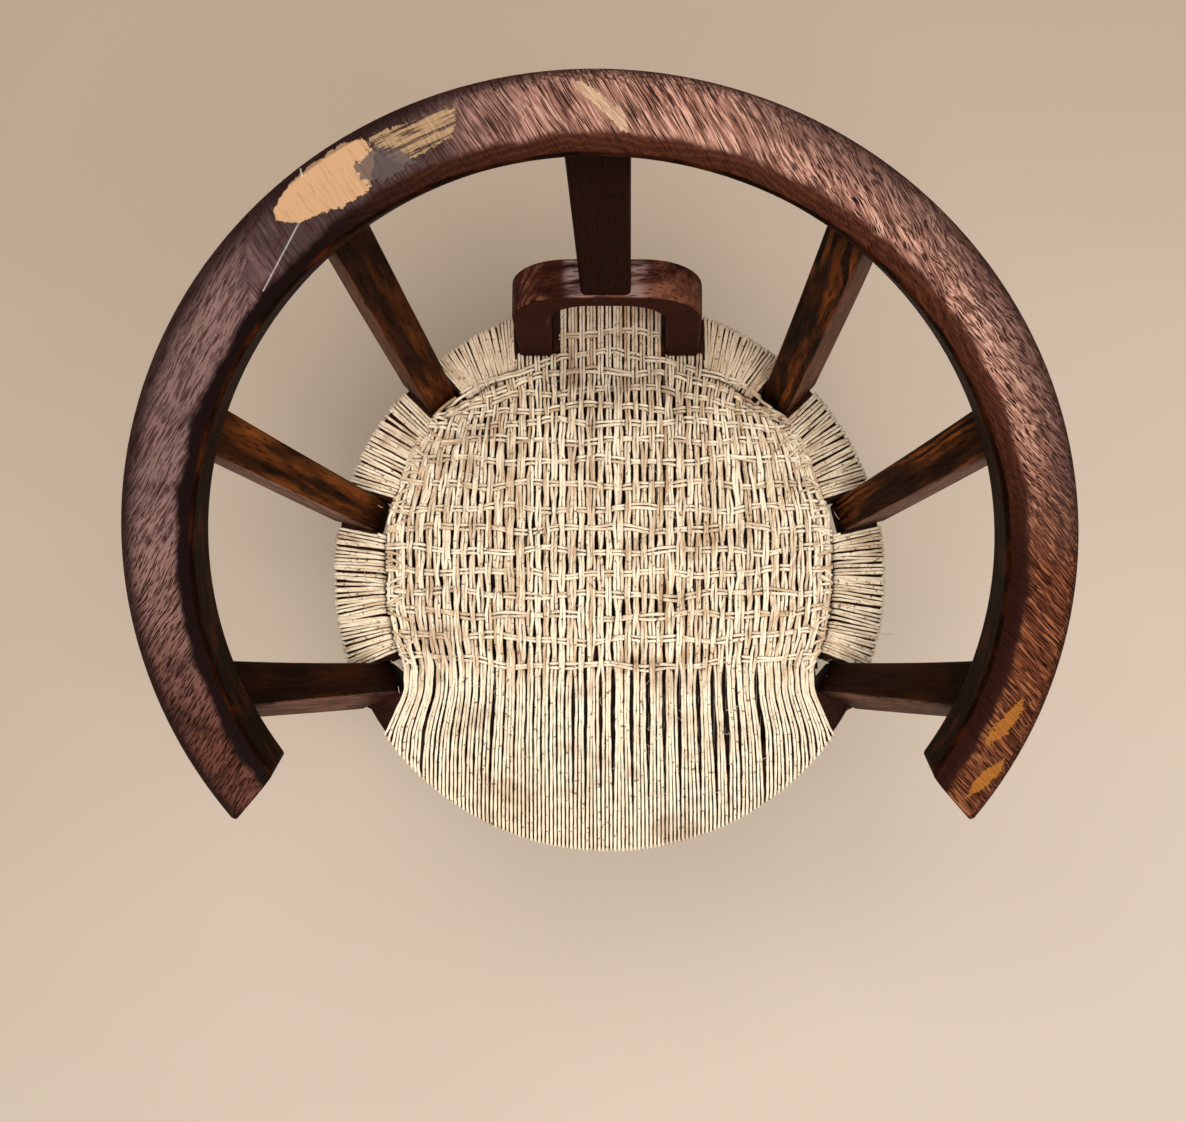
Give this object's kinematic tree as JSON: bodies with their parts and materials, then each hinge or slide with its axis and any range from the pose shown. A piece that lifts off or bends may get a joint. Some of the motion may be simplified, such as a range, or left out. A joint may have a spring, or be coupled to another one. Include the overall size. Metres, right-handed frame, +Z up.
{
  "type": "barrel-back armchair",
  "caption": "Barrel-back dining armchair: dark wood horseshoe arm rail on splayed uprights and an arched splat, over a round seat woven from natural cord.",
  "frame": {"origin": "on the floor, at the middle of the chair's box", "axes": "+Z up, +Y towards the back of the chair, +X towards the sitter's left"},
  "size_m": [0.609, 0.493, 0.8162],
  "materials": {
    "rail_wood": "stained open-pored hardwood, worn",
    "frame_wood": "dark stained hardwood, satin",
    "ring_wood": "dark stained hardwood, matt",
    "peg_wood": "dark stained end grain",
    "wrap_cord": "natural twisted plant-fibre cord",
    "woven_cord": "natural twisted plant-fibre cord, woven"
  },
  "bodies": {
    "root": {"back_leg_left": "frame_wood", "back_leg_right": "frame_wood", "back_splat": "frame_wood", "cord_wrap_arm_left": "wrap_cord", "cord_wrap_arm_right": "wrap_cord", "cord_wrap_back": "wrap_cord", "cord_wrap_corner_left": "wrap_cord", "cord_wrap_corner_right": "wrap_cord", "cord_wrap_front": "wrap_cord", "cord_wrap_side_left": "wrap_cord", "cord_wrap_side_right": "wrap_cord", "cross_stretcher": "frame_wood", "front_leg_left": "frame_wood", "front_leg_right": "frame_wood", "mid_post_left": "frame_wood", "mid_post_right": "frame_wood", "rail_arm_left": "rail_wood", "rail_arm_right": "rail_wood", "rail_crest": "rail_wood", "rail_scarf_dowels": "peg_wood", "rail_tenon_pegs": "peg_wood", "seat_lap_pegs": "peg_wood", "seat_ring_back": "ring_wood", "seat_ring_dowels": "peg_wood", "seat_ring_front": "ring_wood", "seat_ring_left": "ring_wood", "seat_ring_right": "ring_wood", "seat_weave": "woven_cord", "side_stretcher_left": "frame_wood", "side_stretcher_right": "frame_wood", "splat_arch": "frame_wood"}
  },
  "joints": []
}
